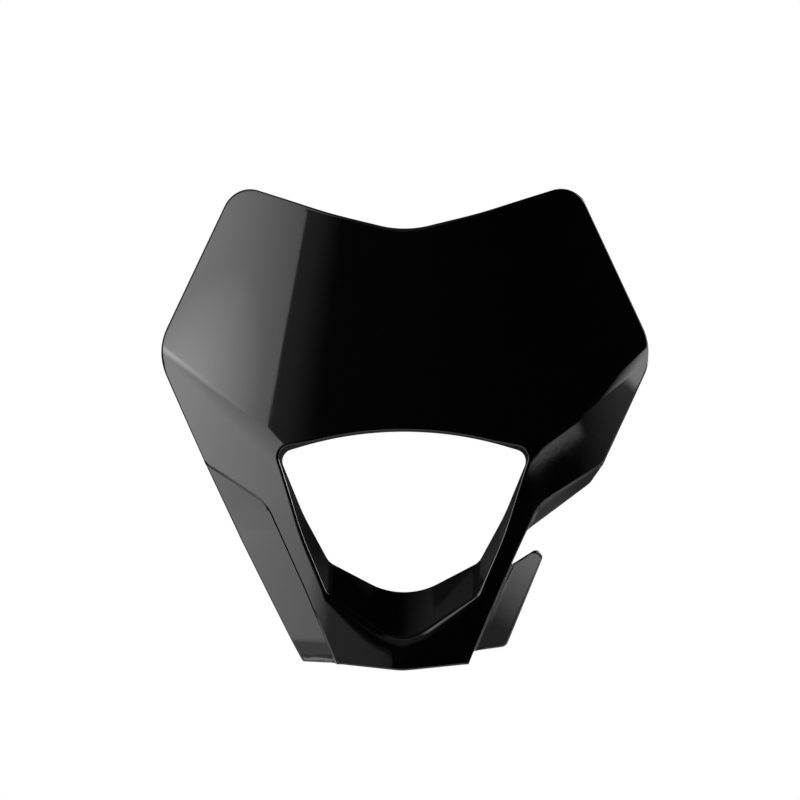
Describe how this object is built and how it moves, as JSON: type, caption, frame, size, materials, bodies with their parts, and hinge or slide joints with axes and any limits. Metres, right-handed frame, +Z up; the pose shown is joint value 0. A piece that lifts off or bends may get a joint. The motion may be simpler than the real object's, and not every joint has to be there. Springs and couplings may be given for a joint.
{
  "type": "motorbike headlight mask",
  "caption": "Gloss black motorbike headlight mask with a curved plate above a wide headlight window, folded side panels, a pointed chin and a notched side wing.",
  "frame": {"origin": "on the headlight's seat plane, midway between the two screw bosses", "axes": "-Y towards the front of the motorbike, +X to the right of someone who looks at the front, +Z up"},
  "size_m": [0.2978, 0.1131, 0.2859],
  "materials": {
    "mask": "gloss"
  },
  "bodies": {
    "root": {"headlight_mask": "mask"}
  },
  "joints": []
}
